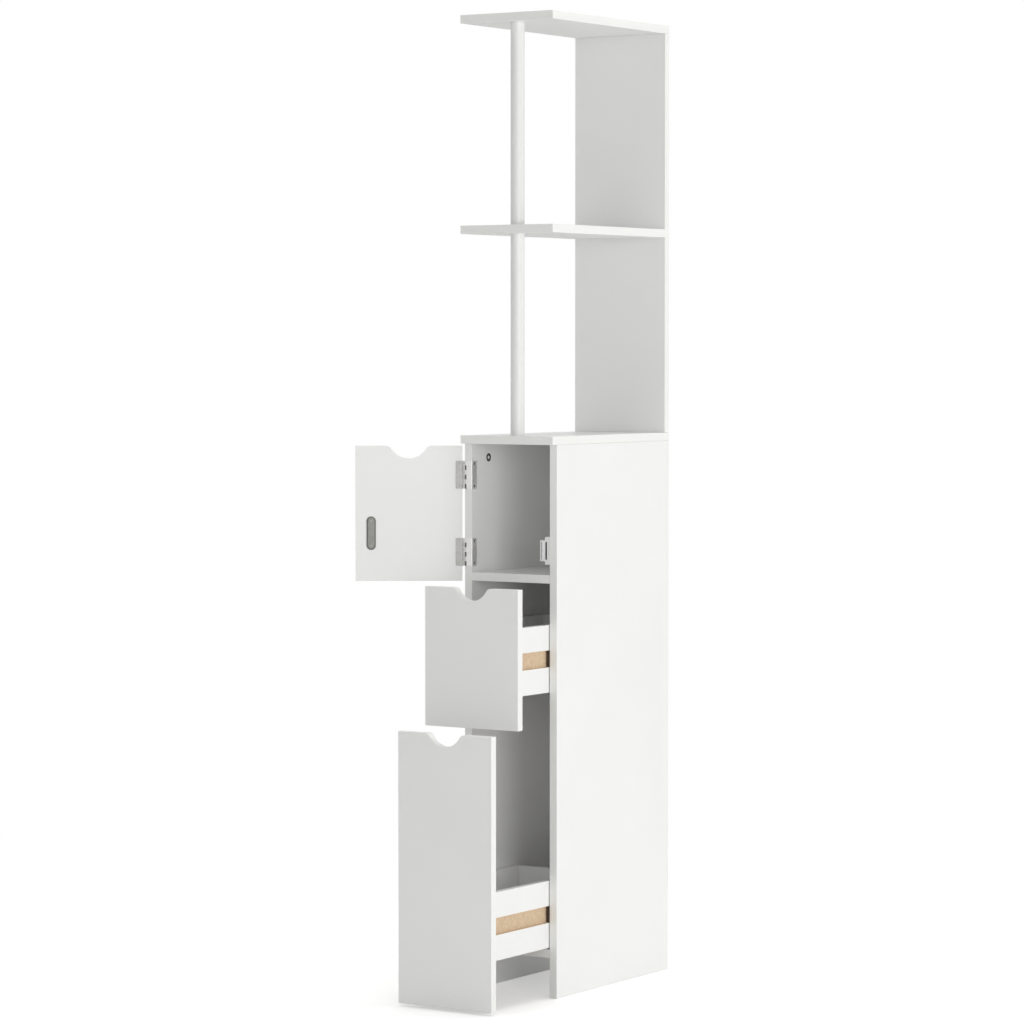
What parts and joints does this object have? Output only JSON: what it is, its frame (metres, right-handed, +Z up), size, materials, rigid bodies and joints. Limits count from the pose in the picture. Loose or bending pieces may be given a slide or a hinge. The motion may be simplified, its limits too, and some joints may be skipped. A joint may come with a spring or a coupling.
{
  "type": "bathroom storage tower",
  "caption": "Slim white storage tower: an open hutch with shelves on round posts over a cabinet with a hinged door, a small drawer and a deep drawer on wooden runners.",
  "frame": {"origin": "front, outer, lower corner of the left side panel, on the floor", "axes": "+Z up, +X across to the right as seen from the front, +Y from the front to the back; the doors and drawers face -Y"},
  "size_m": [0.3652, 0.5965, 1.75],
  "materials": {
    "carcass_board": "particle board with a smooth white melamine coating and white edge band",
    "front_board": "particle board with a smooth white melamine coating and white edge band, satin",
    "drawer_board": "fibreboard with a smooth white coating; the runner grooves are cut through it",
    "hardboard": "thin hardboard, white lacquer on the face that shows",
    "post_paint": "turned round wood, smooth white lacquer, satin",
    "runner_wood": "hardwood strip stained dark brown, matt",
    "dowel_wood": "plain beech, uncoated",
    "cam_zinc": "die-cast zinc, dull light grey",
    "bolt_steel": "zinc-plated steel, satin",
    "screw_steel": "bright zinc-plated steel",
    "hinge_steel": "nickel-plated pressed steel, satin",
    "catch_plastic": "white moulded plastic, slightly glossy",
    "catch_magnet": "bar magnet, nickel-plated light grey, satin",
    "catch_steel": "sheet steel, plated dark grey, satin",
    "strike_steel": "pressed steel, plated mid grey, satin"
  },
  "bodies": {
    "cabinet": {"left_side_panel": "carcass_board", "right_side_panel": "carcass_board", "cabinet_top": "carcass_board", "cupboard_shelf": "carcass_board", "bottom_panel": "carcass_board", "back_board": "hardboard", "back_nails": "screw_steel", "carcass_cams": "cam_zinc", "carcass_cam_bolts": "bolt_steel", "carcass_dowels": "dowel_wood", "hutch_back_panel": "carcass_board", "middle_shelf": "carcass_board", "top_shelf": "carcass_board", "hutch_cams": "cam_zinc", "hutch_cam_bolts": "bolt_steel", "hutch_dowels": "dowel_wood", "middle_shelf_screws": "screw_steel", "lower_post": "post_paint", "upper_post": "post_paint", "post_studs": "bolt_steel", "post_screw": "screw_steel", "upper_left_runner": "runner_wood", "upper_right_runner": "runner_wood", "lower_left_runner": "runner_wood", "lower_right_runner": "runner_wood", "runner_screws": "screw_steel", "catch_housing": "catch_plastic", "catch_magnet": "catch_magnet", "catch_pole_plates": "catch_steel", "catch_screws": "screw_steel", "upper_hinge_frame_leaf": "hinge_steel", "lower_hinge_frame_leaf": "hinge_steel", "upper_hinge_pin": "hinge_steel", "lower_hinge_pin": "hinge_steel", "frame_leaf_screws": "screw_steel"},
    "door": {"door_panel": "front_board", "upper_hinge_door_leaf": "hinge_steel", "lower_hinge_door_leaf": "hinge_steel", "door_leaf_screws": "screw_steel", "strike_plate": "strike_steel", "strike_screws": "screw_steel"},
    "small_drawer": {"small_drawer_front": "front_board", "small_drawer_left_side": "drawer_board", "small_drawer_right_side": "drawer_board", "small_drawer_back": "drawer_board", "small_drawer_bottom": "hardboard", "small_drawer_cams": "cam_zinc", "small_drawer_cam_bolts": "bolt_steel", "small_drawer_screws": "screw_steel"},
    "large_drawer": {"large_drawer_front": "front_board", "large_drawer_left_side": "drawer_board", "large_drawer_right_side": "drawer_board", "large_drawer_back": "drawer_board", "large_drawer_bottom": "hardboard", "large_drawer_cams": "cam_zinc", "large_drawer_cam_bolts": "bolt_steel", "large_drawer_screws": "screw_steel"}
  },
  "joints": [
    {"name": "door_hinge", "type": "hinge", "parent": "cabinet", "child": "door", "pos_m": [-0.00121, -0.0019, 0.8595], "axis": [0, 0, -1], "range_deg": [-145, 30]},
    {"name": "small_drawer_slide", "type": "slide", "parent": "cabinet", "child": "small_drawer", "axis": [0, -1, 0], "range_m": [-0.111, 0.139]},
    {"name": "large_drawer_slide", "type": "slide", "parent": "cabinet", "child": "large_drawer", "axis": [0, -1, 0], "range_m": [-0.195, 0.055]}
  ]
}
